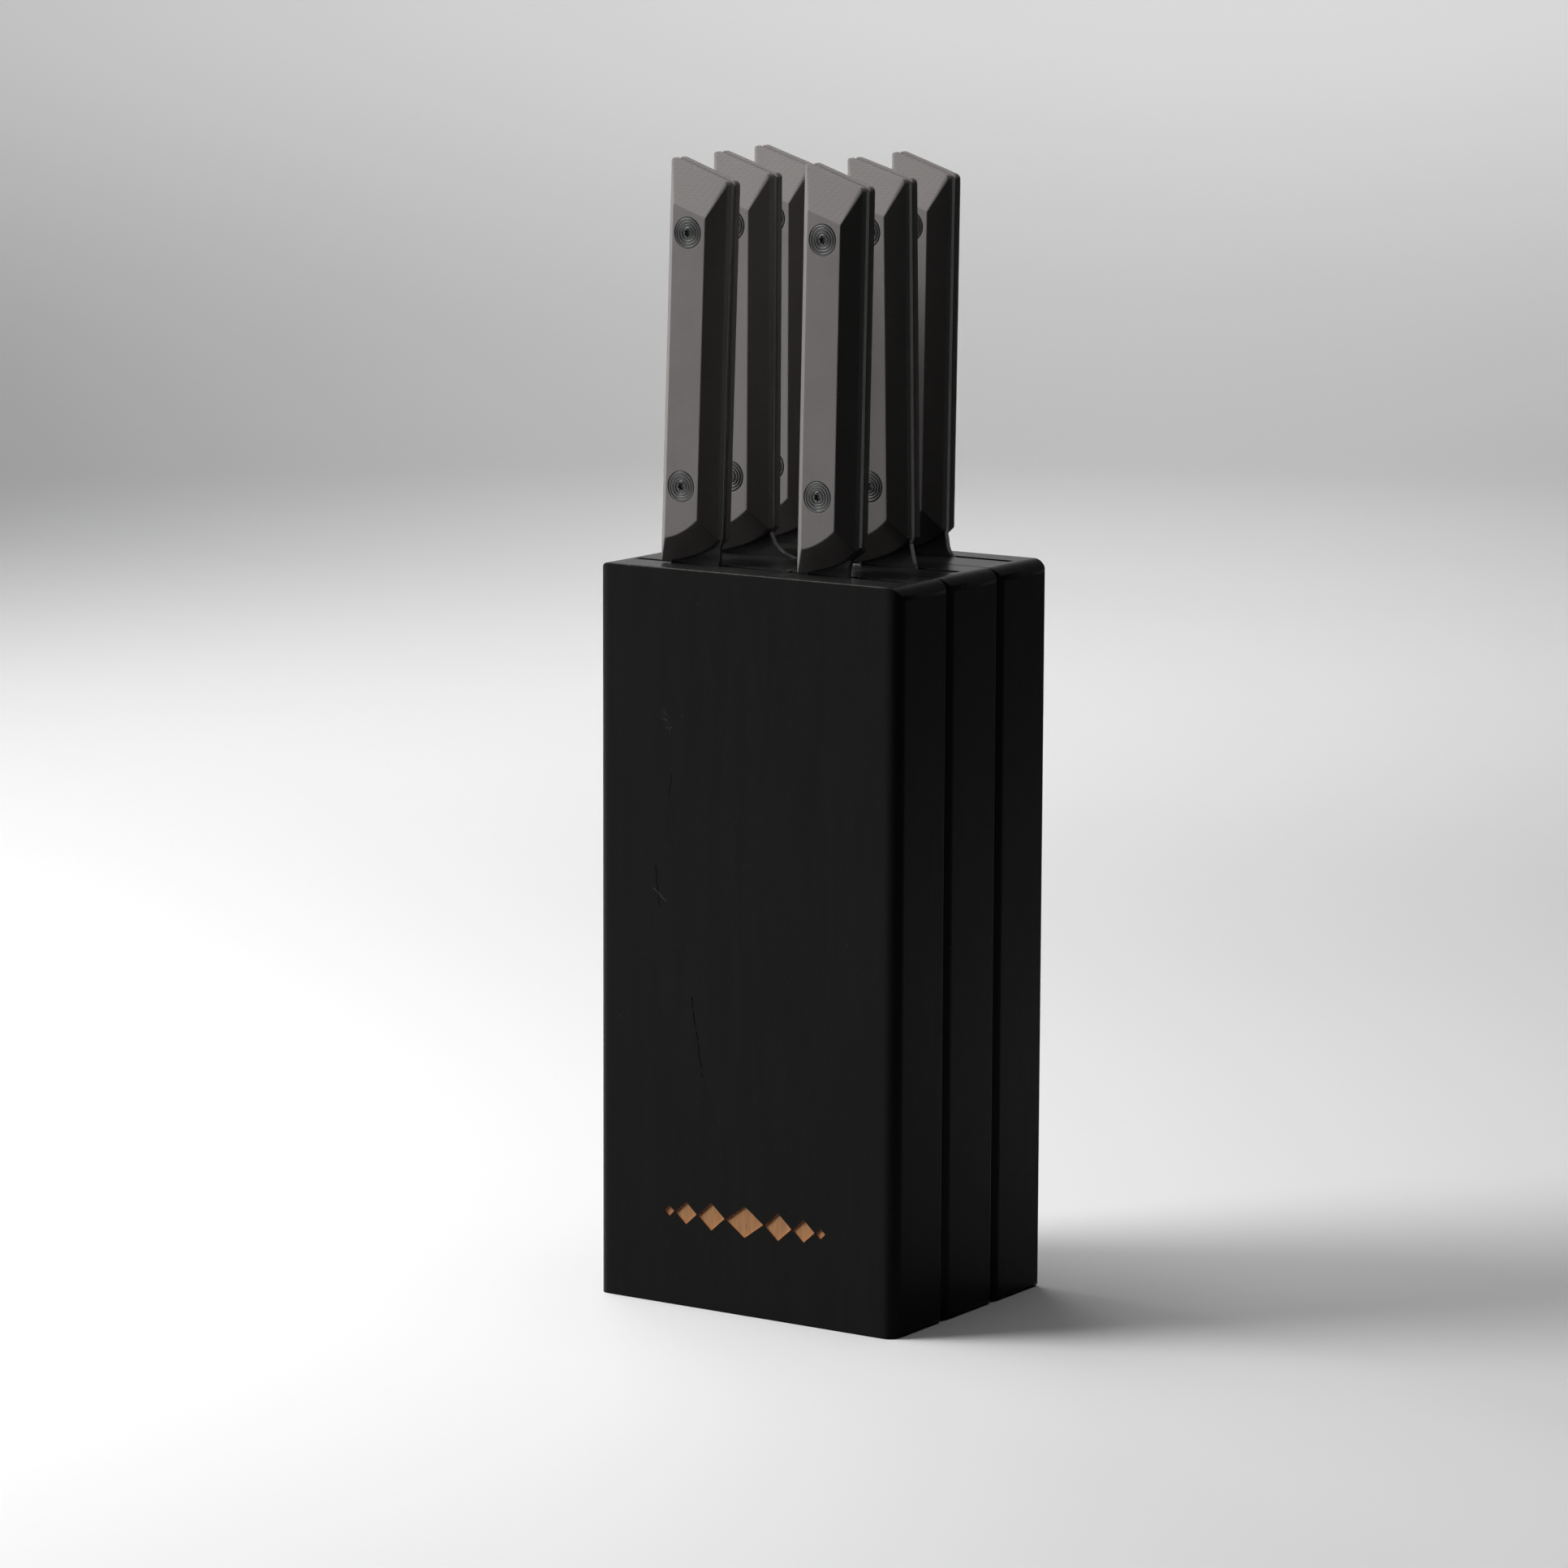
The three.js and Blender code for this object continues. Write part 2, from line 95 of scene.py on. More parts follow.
# ------------------------------------------------------------------ node helpers
class Nodes:
    """A material's node tree, written as short calls."""

    def __init__(self, name):
        self.mat = bpy.data.materials.new(name)
        self.mat.use_nodes = True
        self.t = self.mat.node_tree
        self.t.nodes.clear()
        self.out = self.t.nodes.new("ShaderNodeOutputMaterial")
        self.bsdf = self.t.nodes.new("ShaderNodeBsdfPrincipled")
        self.t.links.new(self.bsdf.outputs["BSDF"], self.out.inputs["Surface"])
        self.coord = self.t.nodes.new("ShaderNodeTexCoord")
        self.mm = self.vec_scale(self.coord.outputs["Object"], (1000, 1000, 1000))

    def link(self, a, b):
        self.t.links.new(a, b)

    def put(self, socket, value):
        if isinstance(value, bpy.types.NodeSocket):
            self.link(value, socket)
        else:
            socket.default_value = value

    def vec_scale(self, v, s):
        n = self.t.nodes.new("ShaderNodeVectorMath")
        n.operation = "MULTIPLY"
        self.put(n.inputs[0], v)
        n.inputs[1].default_value = s
        return n.outputs[0]

    def vec_add(self, a, b):
        n = self.t.nodes.new("ShaderNodeVectorMath")
        n.operation = "ADD"
        self.put(n.inputs[0], a)
        self.put(n.inputs[1], b)
        return n.outputs[0]

    def xyz(self, v):
        n = self.t.nodes.new("ShaderNodeSeparateXYZ")
        self.link(v, n.inputs[0])
        return n.outputs[0], n.outputs[1], n.outputs[2]

    def combine(self, x, y, z):
        n = self.t.nodes.new("ShaderNodeCombineXYZ")
        for s, v in zip(n.inputs, (x, y, z)):
            self.put(s, v)
        return n.outputs[0]

    def math(self, op, a, b=0.0, c=0.0, clamp=False):
        n = self.t.nodes.new("ShaderNodeMath")
        n.operation = op
        n.use_clamp = clamp
        for s, v in zip(n.inputs, (a, b, c)):
            self.put(s, v)
        return n.outputs[0]

    def noise(self, v, scale=1.0, detail=2.0, rough=0.5, distortion=0.0):
        n = self.t.nodes.new("ShaderNodeTexNoise")
        self.link(v, n.inputs["Vector"])
        n.inputs["Scale"].default_value = scale
        n.inputs["Detail"].default_value = detail
        n.inputs["Roughness"].default_value = rough
        n.inputs["Distortion"].default_value = distortion
        return n.outputs[0]

    def voronoi(self, v, scale=1.0, out="Distance", randomness=1.0, feature="F1"):
        n = self.t.nodes.new("ShaderNodeTexVoronoi")
        n.feature = feature
        self.link(v, n.inputs["Vector"])
        n.inputs["Scale"].default_value = scale
        n.inputs["Randomness"].default_value = randomness
        return n.outputs[out]

    def ramp(self, v, a, b, lo=0.0, hi=1.0, smooth=True):
        n = self.t.nodes.new("ShaderNodeMapRange")
        n.interpolation_type = "SMOOTHSTEP" if smooth else "LINEAR"
        self.put(n.inputs["Value"], v)
        n.inputs["From Min"].default_value = a
        n.inputs["From Max"].default_value = b
        n.inputs["To Min"].default_value = lo
        n.inputs["To Max"].default_value = hi
        return n.outputs["Result"]

    def mix(self, f, a, b):
        n = self.t.nodes.new("ShaderNodeMix")
        n.data_type = "RGBA"
        self.put(n.inputs["Factor"], f)
        for s, v in ((n.inputs[6], a), (n.inputs[7], b)):
            if isinstance(v, tuple) and len(v) == 3:
                v = (*v, 1.0)
            self.put(s, v)
        return n.outputs[2]

    def bump(self, height, strength, distance, normal=None):
        n = self.t.nodes.new("ShaderNodeBump")
        n.inputs["Strength"].default_value = strength
        n.inputs["Distance"].default_value = distance
        self.link(height, n.inputs["Height"])
        if normal is not None:
            self.link(normal, n.inputs["Normal"])
        return n.outputs[0]

    def set(self, **kw):
        for k, v in kw.items():
            self.put(self.bsdf.inputs[k.replace("_", " ")], (*v, 1.0) if isinstance(v, tuple) and len(v) == 3 else v)


def segment_mask(n, px, pz, a, b, width, soft):
    """1 on a straight stroke from a to b in X and Z, fading out past its width and at its ends."""
    (ax, az), (bx, bz) = a, b
    dx, dz = bx - ax, bz - az
    length2 = dx * dx + dz * dz
    ux = n.math("SUBTRACT", px, ax)
    uz = n.math("SUBTRACT", pz, az)
    t = n.math("DIVIDE", n.math("ADD", n.math("MULTIPLY", ux, dx), n.math("MULTIPLY", uz, dz)), length2, clamp=True)
    ex = n.math("SUBTRACT", ux, n.math("MULTIPLY", t, dx))
    ez = n.math("SUBTRACT", uz, n.math("MULTIPLY", t, dz))
    d = n.math("SQRT", n.math("ADD", n.math("MULTIPLY", ex, ex), n.math("MULTIPLY", ez, ez)))
    return n.ramp(d, width, width + soft, 1.0, 0.0), t


# ------------------------------------------------------------------ materials
def painted_wood():
    n = Nodes("black_stained_wood")
    x, y, z = n.xyz(n.mm)
    # long upright fibres and open pores: the grain runs along Z
    warp = n.noise(n.vec_scale(n.mm, (0.05, 0.05, 0.012)), 1.0, 2.0)
    wx = n.math("MULTIPLY_ADD", warp, 3.0, x)
    grain_v = n.combine(wx, y, n.math("MULTIPLY", z, 0.045))
    fibre = n.noise(n.vec_scale(grain_v, (1.6, 1.6, 1.6)), 1.0, 5.0, 0.62)
    figure = n.noise(n.vec_scale(grain_v, (0.16, 0.16, 0.35)), 1.0, 3.0, 0.55, 0.4)
    pore_v = n.combine(n.math("MULTIPLY", wx, 1.55), n.math("MULTIPLY", y, 1.55), n.math("MULTIPLY", z, 0.17))
    pore_d = n.voronoi(pore_v, 1.0)
    pore_pick = n.voronoi(pore_v, 1.0, "Color")
    px, _, _ = n.xyz(pore_pick)
    picked = n.ramp(px, 0.80, 0.90)
    zone = n.ramp(n.noise(n.vec_scale(n.mm, (0.030, 0.030, 0.010)), 1.0, 2.0), 0.40, 0.68)
    pore = n.math("MULTIPLY", n.math("MULTIPLY", n.ramp(pore_d, 0.03, 0.17, 1.0, 0.0), picked), zone)
    fine = n.noise(n.vec_scale(n.mm, (9.0, 9.0, 5.0)), 1.0, 3.0, 0.6)
    broad = n.noise(n.vec_scale(n.mm, (0.02, 0.02, 0.012)), 1.0, 3.0, 0.5)
    # specks of dust, sparse
    dust_v = n.vec_scale(n.mm, (0.34, 0.34, 0.30))
    dust_r = n.noise(n.vec_scale(n.mm, (0.06, 0.06, 0.06)), 1.0, 1.0)
    dust_d = n.voronoi(dust_v, 1.0)
    dust_c, dust_c2, _ = n.xyz(n.voronoi(dust_v, 1.0, "Color"))
    dust_size = n.math("MULTIPLY_ADD", dust_c2, 0.05, 0.018)
    dust = n.math("MULTIPLY", n.math("LESS_THAN", dust_d, dust_size), n.ramp(dust_c, 0.62, 0.80))
    dust = n.math("MULTIPLY", dust, n.ramp(dust_r, 0.35, 0.6))
    fleck_v = n.vec_scale(n.mm, (0.85, 0.85, 0.80))
    fleck_c, fleck_c2, _ = n.xyz(n.voronoi(fleck_v, 1.0, "Color"))
    fleck = n.math("MULTIPLY", n.math("LESS_THAN", n.voronoi(fleck_v, 1.0), n.math("MULTIPLY_ADD", fleck_c2, 0.05, 0.07)), n.ramp(fleck_c, 0.90, 0.97))
    dust = n.math("MAXIMUM", dust, n.math("MULTIPLY", fleck, 0.45))
    # marks on the front face only: one long dark scratch, short ones near it and two pale scuffs
    front = n.math("LESS_THAN", y, -43.12)
    wob = n.math("MULTIPLY_ADD", n.noise(n.vec_scale(n.mm, (0.3, 0.3, 0.3)), 1.0, 3.0), 1.6, -0.8)
    sx = n.math("ADD", x, wob)
    s1, t1 = segment_mask(n, sx, z, (-19.9, 99.8), (-15.5, 74.0), 0.16, 0.22)
    s1 = n.math("MULTIPLY", s1, n.ramp(n.noise(n.vec_scale(n.mm, (0.2, 0.2, 0.5)), 1.0, 2.0), 0.33, 0.55, 0.25, 1.0))
    s2, _ = segment_mask(n, sx, z, (-33.6, 140.5), (-32.2, 128.0), 0.12, 0.25)
    s3, _ = segment_mask(n, sx, z, (-27.4, 170.0), (-28.6, 163.0), 0.10, 0.22)
    dark_marks = n.math("MULTIPLY", n.math("MAXIMUM", s1, n.math("MAXIMUM", n.math("MULTIPLY", s2, 0.7), n.math("MULTIPLY", s3, 0.7))), front)
    scuff, _ = segment_mask(n, sx, z, (-30.6, 189.5), (-28.8, 184.8), 0.5, 1.6)
    scuff_n = n.ramp(n.noise(n.vec_scale(n.mm, (2.2, 2.2, 1.2)), 1.0, 4.0, 0.7), 0.54, 0.66)
    scuff = n.math("MULTIPLY", n.math("MULTIPLY", scuff, scuff_n), front)
    faint, _ = segment_mask(n, sx, z, (-34.4, 133.2), (-29.8, 129.6), 0.05, 0.25)
    faint = n.math("MULTIPLY", n.math("MULTIPLY", faint, front), 0.5)
    light_marks = n.math("MAXIMUM", scuff, faint)
    # paint rubbed thin along the sharp edge between the front and the top, lightened further as a painted highlight of
    # that rounded edge; pale nicks in it
    near_top = n.ramp(z, 234.35, 234.9)
    near_front = n.ramp(y, -43.05, -42.5, 1.0, 0.0)
    rub_and_highlight_noise = n.ramp(n.noise(n.vec_scale(n.mm, (0.55, 0.8, 0.8)), 1.0, 4.0, 0.65), 0.35, 0.72)
    rubbed_edge_and_highlight = n.math("MULTIPLY", n.math("MULTIPLY", near_top, near_front), n.math("MULTIPLY_ADD", rub_and_highlight_noise, 0.8, 0.2))
    nick_n = n.ramp(n.noise(n.vec_scale(n.mm, (0.9, 0.5, 0.5)), 1.0, 2.0, 0.5), 0.70, 0.76)
    nick = n.math("MULTIPLY", n.math("MULTIPLY", near_top, near_front), nick_n)

    base = n.mix(n.ramp(figure, 0.3, 0.7), (0.0184, 0.0181, 0.0179), (0.0207, 0.0204, 0.0200))
    base = n.mix(n.math("MULTIPLY", n.ramp(fibre, 0.35, 0.75), 0.16), base, (0.0262, 0.0256, 0.0250))
    base = n.mix(n.math("MULTIPLY", pore, 0.75), base, (0.0022, 0.0021, 0.0020))
    base = n.mix(dark_marks, base, (0.0006, 0.0006, 0.0006))
    base = n.mix(n.math("MULTIPLY", light_marks, 0.7), base, (0.15, 0.147, 0.143))
    base = n.mix(n.math("MULTIPLY", dust, 0.75), base, (0.20, 0.197, 0.190))
    # painted highlight and wear: the front top edge lightened in colour
    base = n.mix(n.math("MULTIPLY", rubbed_edge_and_highlight, 0.45), base, (0.13, 0.122, 0.115))
    base = n.mix(nick, base, (0.42, 0.38, 0.33))
    rough = n.math("ADD", n.ramp(broad, 0.3, 0.7, 0.235, 0.275), n.math("MULTIPLY", fine, 0.05))
    rough = n.math("MULTIPLY_ADD", pore, 0.25, rough)
    rough = n.math("MULTIPLY_ADD", n.math("MAXIMUM", dark_marks, n.math("MAXIMUM", light_marks, dust)), 0.3, rough, clamp=True)
    n.set(Base_Color=base, Roughness=rough)
    n.bsdf.inputs["IOR"].default_value = 1.12
    h = n.math("MULTIPLY_ADD", fibre, 0.22, n.math("MULTIPLY", fine, 0.40))
    h = n.math("SUBTRACT", h, n.math("MULTIPLY", pore, 1.2))
    h = n.math("SUBTRACT", h, n.math("MULTIPLY", dark_marks, 2.0))
    n.link(n.bump(h, 0.35, 0.00006), n.bsdf.inputs["Normal"])
    return n.mat


def bare_wood():
    n = Nodes("bare_wood")
    x, y, z = n.xyz(n.mm)
    v = n.combine(x, y, n.math("MULTIPLY", z, 0.07))
    fibre = n.noise(n.vec_scale(v, (3.2, 3.2, 3.2)), 1.0, 5.0, 0.65)
    band = n.noise(n.vec_scale(v, (0.5, 0.5, 0.9)), 1.0, 3.0, 0.5, 0.5)
    pore_v = n.combine(n.math("MULTIPLY_ADD", z, 0.10, n.math("MULTIPLY", x, 1.3)), n.math("MULTIPLY", y, 1.3), n.math("MULTIPLY", z, 0.13))
    pd = n.voronoi(pore_v, 1.0)
    pc, _, _ = n.xyz(n.voronoi(pore_v, 1.0, "Color"))
    pore = n.math("MULTIPLY", n.ramp(pd, 0.04, 0.22, 1.0, 0.0), n.ramp(pc, 0.45, 0.65))
    base = n.mix(n.ramp(band, 0.3, 0.7), (0.66, 0.325, 0.140), (0.80, 0.415, 0.185))
    base = n.mix(n.math("MULTIPLY", n.ramp(fibre, 0.3, 0.75), 0.55), base, (0.45, 0.205, 0.085))
    base = n.mix(n.math("MULTIPLY", pore, 0.8), base, (0.14, 0.060, 0.025))
    n.set(Base_Color=base, Roughness=n.math("MULTIPLY_ADD", fibre, 0.15, 0.5))
    h = n.math("SUBTRACT", n.math("MULTIPLY", fibre, 0.4), pore)
    n.link(n.bump(h, 0.5, 0.00008), n.bsdf.inputs["Normal"])
    return n.mat


def laminate():
    """Machined fibre laminate: the cloth's threads show on the flats and its layers on the slopes."""
    n = Nodes("woven_laminate")
    x, y, z = n.xyz(n.mm)
    jig = n.math("MULTIPLY_ADD", n.noise(n.vec_scale(n.mm, (0.10, 0.10, 0.10)), 1.0, 3.0), 1.2, -0.6)
    weft = n.math("SINE", n.math("MULTIPLY", n.math("ADD", z, jig), 2 * math.pi / 0.62))
    warp = n.math("SINE", n.math("MULTIPLY", n.math("ADD", x, n.math("MULTIPLY", jig, 0.7)), 2 * math.pi / 0.70))
    layer_y = n.math("ADD", y, n.math("MULTIPLY", n.math("ADD", weft, warp), 0.035))
    layers = n.math("SINE", n.math("MULTIPLY", n.math("ADD", layer_y, n.math("MULTIPLY", jig, 0.12)), 2 * math.pi / 0.33))
    cloth = n.math("MULTIPLY_ADD", n.math("MULTIPLY", weft, n.math("MULTIPLY_ADD", warp, 0.22, 0.78)), 0.5, 0.5)
    speck = n.noise(n.vec_scale(n.mm, (5.5, 5.5, 5.5)), 1.0, 3.0, 0.65)
    stain = n.noise(n.vec_scale(n.mm, (0.07, 0.07, 0.035)), 1.0, 4.0, 0.55)
    amount = n.math("MULTIPLY_ADD", cloth, 0.30, n.math("MULTIPLY_ADD", layers, 0.10, n.math("MULTIPLY", speck, 0.55)))
    base = n.mix(n.ramp(amount, 0.20, 0.75, smooth=False), (0.200, 0.186, 0.182), (0.325, 0.305, 0.299))
    base = n.mix(n.math("MULTIPLY", n.ramp(stain, 0.35, 0.75), 0.22), base, (0.205, 0.190, 0.186))
    pit_v = n.vec_scale(n.mm, (0.9, 0.9, 0.9))
    pit_c, _, _ = n.xyz(n.voronoi(pit_v, 1.0, "Color"))
    pit = n.math("MULTIPLY", n.ramp(n.voronoi(pit_v, 1.0), 0.05, 0.13, 1.0, 0.0), n.ramp(pit_c, 0.93, 0.97))
    base = n.mix(n.math("MULTIPLY", pit, 0.7), base, (0.03, 0.028, 0.027))
    rough = n.math("MULTIPLY_ADD", speck, 0.12, n.math("MULTIPLY_ADD", cloth, 0.05, 0.52))
    n.set(Base_Color=base, Roughness=rough)
    n.bsdf.inputs["IOR"].default_value = 1.22
    h = n.math("ADD", n.math("MULTIPLY", cloth, 0.6), n.math("ADD", n.math("MULTIPLY", layers, 0.06), n.math("MULTIPLY", speck, 0.8)))
    h = n.math("SUBTRACT", h, pit)
    n.link(n.bump(h, 0.24, 0.00005), n.bsdf.inputs["Normal"])
    return n.mat


def blade_steel():
    """Dark coated steel, satin, drawn along the blade."""
    n = Nodes("coated_steel")
    x, y, z = n.xyz(n.mm)
    line_v = n.combine(n.math("MULTIPLY", x, 9.0), n.math("MULTIPLY", y, 9.0), n.math("MULTIPLY", z, 0.22))
    lines = n.noise(line_v, 1.0, 4.0, 0.7)
    broad = n.noise(n.vec_scale(n.mm, (0.08, 0.08, 0.03)), 1.0, 3.0)
    fine = n.noise(n.vec_scale(n.mm, (8.0, 8.0, 8.0)), 1.0, 2.0)
    base = n.mix(n.ramp(lines, 0.3, 0.7), (0.052, 0.052, 0.051), (0.074, 0.074, 0.073))
    base = n.mix(n.math("MULTIPLY", n.ramp(broad, 0.4, 0.7), 0.3), base, (0.042, 0.042, 0.042))
    n.set(Base_Color=base, Metallic=0.75,
          Roughness=n.math("MULTIPLY_ADD", lines, 0.10, n.math("MULTIPLY_ADD", broad, 0.08, 0.30)))
    n.link(n.bump(n.math("MULTIPLY_ADD", fine, 0.3, lines), 0.18, 0.00003), n.bsdf.inputs["Normal"])
    return n.mat


def edge_steel():
    """The same steel where it is polished bare: the rim of the tang."""
    n = Nodes("polished_edge_steel")
    lines = n.noise(n.vec_scale(n.mm, (7.0, 7.0, 0.6)), 1.0, 3.0, 0.6)
    broad = n.noise(n.vec_scale(n.mm, (0.2, 0.2, 0.1)), 1.0, 3.0)
    base = n.mix(n.ramp(lines, 0.3, 0.7), (0.115, 0.119, 0.116), (0.160, 0.165, 0.161))
    base = n.mix(n.math("MULTIPLY", n.ramp(broad, 0.45, 0.7), 0.35), base, (0.085, 0.088, 0.086))
    n.set(Base_Color=base, Metallic=1.0, Roughness=n.math("MULTIPLY_ADD", lines, 0.10, 0.26))
    n.link(n.bump(lines, 0.15, 0.00003), n.bsdf.inputs["Normal"])
    return n.mat


def ring_at(n, r, radius, half):
    """1 on a circle about the axis, fading to 0 half a millimetre share away from it."""
    return n.ramp(n.math("ABSOLUTE", n.math("SUBTRACT", r, radius)), half * 0.6, half * 1.25, 1.0, 0.0)


def fastener_steel():
    """Turned dark steel: fine rings about the fastener's own axis, which is local Y, and painted shade in the grooves
    of the head.
    """
    n = Nodes("turned_steel")
    x, y, z = n.xyz(n.mm)
    r = n.math("SQRT", n.math("ADD", n.math("MULTIPLY", x, x), n.math("MULTIPLY", z, z)))
    rings = n.noise(n.combine(n.math("MULTIPLY", r, 9.0), 0.0, n.math("MULTIPLY", y, 1.0)), 1.0, 3.0, 0.6)
    grime = n.noise(n.vec_scale(n.mm, (0.8, 0.8, 0.8)), 1.0, 3.0, 0.6)
    base = n.mix(n.ramp(rings, 0.3, 0.7), (0.112, 0.113, 0.111), (0.148, 0.150, 0.147))
    base = n.mix(n.math("MULTIPLY", n.ramp(grime, 0.45, 0.75), 0.4), base, (0.086, 0.087, 0.086))
    # painted shade: the head's grooves and its outer rim darkened in colour
    groove_shade = n.math("MAXIMUM", ring_at(n, r, 3.92, 0.13), n.math("MAXIMUM", ring_at(n, r, 2.93, 0.13), n.math("MAXIMUM", ring_at(n, r, 2.02, 0.16), ring_at(n, r, 4.75, 0.10))))
    base = n.mix(n.math("MULTIPLY", groove_shade, 0.62), base, (0.020, 0.020, 0.020))
    n.set(Base_Color=base, Metallic=1.0,
          Roughness=n.math("MULTIPLY_ADD", rings, 0.06, n.math("MULTIPLY_ADD", grime, 0.06, 0.27)))
    n.link(n.bump(rings, 0.10, 0.00002), n.bsdf.inputs["Normal"])
    return n.mat


WOOD, BARE, GRIP = painted_wood(), bare_wood(), laminate()
BLADE, EDGE, TURNED = blade_steel(), edge_steel(), fastener_steel()


# ------------------------------------------------------------------ mesh helpers
def new_object(name, mesh, matrix=None):
    o = bpy.data.objects.new(name, mesh)
    bpy.context.scene.collection.objects.link(o)
    if matrix is not None:
        o.matrix_world = matrix
    return o


def mesh_from(name, verts, faces, materials, face_mat=None):
    me = bpy.data.meshes.new(name)
    me.from_pydata([(x * MM, y * MM, z * MM) for x, y, z in verts], [], faces)
    for m in materials:
        me.materials.append(m)
    if face_mat:
        for p, i in zip(me.polygons, face_mat):
            p.material_index = i
    bm = bmesh.new()
    bm.from_mesh(me)
    bmesh.ops.recalc_face_normals(bm, faces=bm.faces)
    bm.to_mesh(me)
    bm.free()
    me.update()
    return me


def applied(o):
    """Replaces an object's mesh with its modifiers' result."""
    dg = bpy.context.evaluated_depsgraph_get()
    dg.update()
    me = bpy.data.meshes.new_from_object(o.evaluated_get(dg), preserve_all_data_layers=True, depsgraph=dg)
    old = o.data
    o.modifiers.clear()
    o.data = me
    me.name = o.name
    if old.users == 0:
        bpy.data.meshes.remove(old)
    return o


def shade(o, angle):
    """Smooth shading with creases kept past an angle, and normals weighted by face area so that flats stay flat."""
    for p in o.data.polygons:
        p.use_smooth = True
    o.data.set_sharp_from_angle(angle=math.radians(angle))
    w = o.modifiers.new("flats", "WEIGHTED_NORMAL")
    w.mode = "FACE_AREA"
    w.weight = 100
    w.keep_sharp = True
    return applied(o)


def cut(o, cutter):
    """Cuts one solid out of another; the cutter goes."""
    b = o.modifiers.new("cut", "BOOLEAN")
    b.operation = "DIFFERENCE"
    b.solver = "EXACT"
    b.object = cutter
    applied(o)
    data = cutter.data
    bpy.data.objects.remove(cutter)
    if data.users == 0:
        bpy.data.meshes.remove(data)
    return o


def rounded(corners, n):
    """A polygon whose corners carry radii: (x, y, r), with n steps on each arc."""
    out = []
    count = len(corners)
    for i, (x, y, r) in enumerate(corners):
        if not r:
            out.append((x, y))
            continue
        p = Vector((x, y))
        u = (Vector(corners[i - 1][:2]) - p).normalized()
        v = (Vector(corners[(i + 1) % count][:2]) - p).normalized()
        half = math.acos(max(-1.0, min(1.0, u.dot(v)))) / 2
        c = p + (u + v).normalized() * (r / math.sin(half))
        s = p + u * (r / math.tan(half)) - c
        e = p + v * (r / math.tan(half)) - c
        a0 = math.atan2(s.y, s.x)
        sweep = math.atan2(e.y, e.x) - a0
        if sweep > math.pi:
            sweep -= 2 * math.pi
        if sweep < -math.pi:
            sweep += 2 * math.pi
        for k in range(n + 1):
            t = a0 + sweep * k / n
            out.append((c.x + r * math.cos(t), c.y + r * math.sin(t)))
    return out


def through(points, per):
    """A smooth line through the points, per steps between two of them."""
    out = []
    n = len(points)
    for i in range(n - 1):
        p1, p2 = Vector(points[i]), Vector(points[i + 1])
        p0 = Vector(points[i - 1]) if i else p1 * 2 - p2
        p3 = Vector(points[i + 2]) if i + 2 < n else p2 * 2 - p1
        for k in range(per):
            t = k / per
            q = 0.5 * ((2 * p1) + (p2 - p0) * t + (2 * p0 - 5 * p1 + 4 * p2 - p3) * t * t + (3 * p1 - p0 - 3 * p2 + p3) * t ** 3)
            out.append((q.x, q.y))
    out.append(tuple(points[-1]))
    return out


def inset(points, d):
    """The closed outline moved inwards by d (points run counter-clockwise)."""
    out = []
    n = len(points)
    for i, (x, y) in enumerate(points):
        a, b = Vector(points[i - 1]), Vector(points[(i + 1) % n])
        p = Vector((x, y))
        e1 = p - a
        e2 = b - p
        n1 = Vector((-e1.y, e1.x)).normalized() if e1.length > 1e-9 else Vector((0, 0))
        n2 = Vector((-e2.y, e2.x)).normalized() if e2.length > 1e-9 else n1
        m = (n1 + n2)
        if m.length < 1e-9:
            m = n1
        m.normalize()
        k = d / max(0.35, m.dot(n1))
        out.append((x + m.x * k, y + m.y * k))
    return out


def lathe(profile, segments):
    """Vertices and faces of a profile of (radius, y) turned about Y. It starts and ends on the axis."""
    verts, faces, rings = [], [], []
    for r, y in profile:
        if r < 1e-9:
            rings.append([len(verts)])
            verts.append((0.0, y, 0.0))
        else:
            rings.append(list(range(len(verts), len(verts) + segments)))
            for k in range(segments):
                a = 2 * math.pi * k / segments
                verts.append((r * math.cos(a), y, r * math.sin(a)))
    for a, b in zip(rings, rings[1:]):
        for k in range(segments):
            k2 = (k + 1) % segments
            if len(a) == 1 and len(b) == 1:
                continue
            if len(a) == 1:
                faces.append((a[0], b[k], b[k2]))
            elif len(b) == 1:
                faces.append((a[k], b[0], a[k2]))
            else:
                faces.append((a[k], b[k], b[k2], a[k2]))
    return verts, faces


def prism(points, y0, y1):
    """An outline in X and Z drawn along Y."""
    n = len(points)
    verts = [(x, y0, z) for x, z in points] + [(x, y1, z) for x, z in points]
    faces = [tuple(range(n)), tuple(range(2 * n - 1, n - 1, -1))]
    faces += [(i, (i + 1) % n, n + (i + 1) % n, n + i) for i in range(n)]
    return verts, faces


# ------------------------------------------------------------------ block
EMBLEM_Z = 30.3
EMBLEM = [(0.3, 7.0, 5.1), (-12.3, 5.0, 4.4), (12.9, 5.0, 4.4), (-21.9, 4.0, 3.6), (22.5, 4.0, 3.6), (-28.2, 1.7, 1.7), (28.8, 1.7, 1.7)]
EMBLEM_DEPTH = 0.45


def corner_cut(r, corner, out, axis, span, steps=9):
    """What a rounding of radius r takes off a box's corner edge; out is the way out, axis 'y' or 'z' the edge's run."""
    (u, v), (su, sv) = corner, out
    cu, cv = u - su * r, v - sv * r
    pts = [(cu + su * r * math.sin(t), cv + sv * r * math.cos(t)) for t in (math.pi / 2 * k / steps for k in range(steps + 1))]
    pts += [(u + su, cv), (u + su, v + sv), (cu, v + sv)]
    n = len(pts)
    lo, hi = span
    if axis == "y":
        verts = [(p, lo, q) for p, q in pts] + [(p, hi, q) for p, q in pts]
    else:
        verts = [(p, q, lo) for p, q in pts] + [(p, q, hi) for p, q in pts]
    faces = [tuple(range(n)), tuple(range(2 * n - 1, n - 1, -1))]
    faces += [(i, (i + 1) % n, n + (i + 1) % n, n + i) for i in range(n)]
    return verts, faces


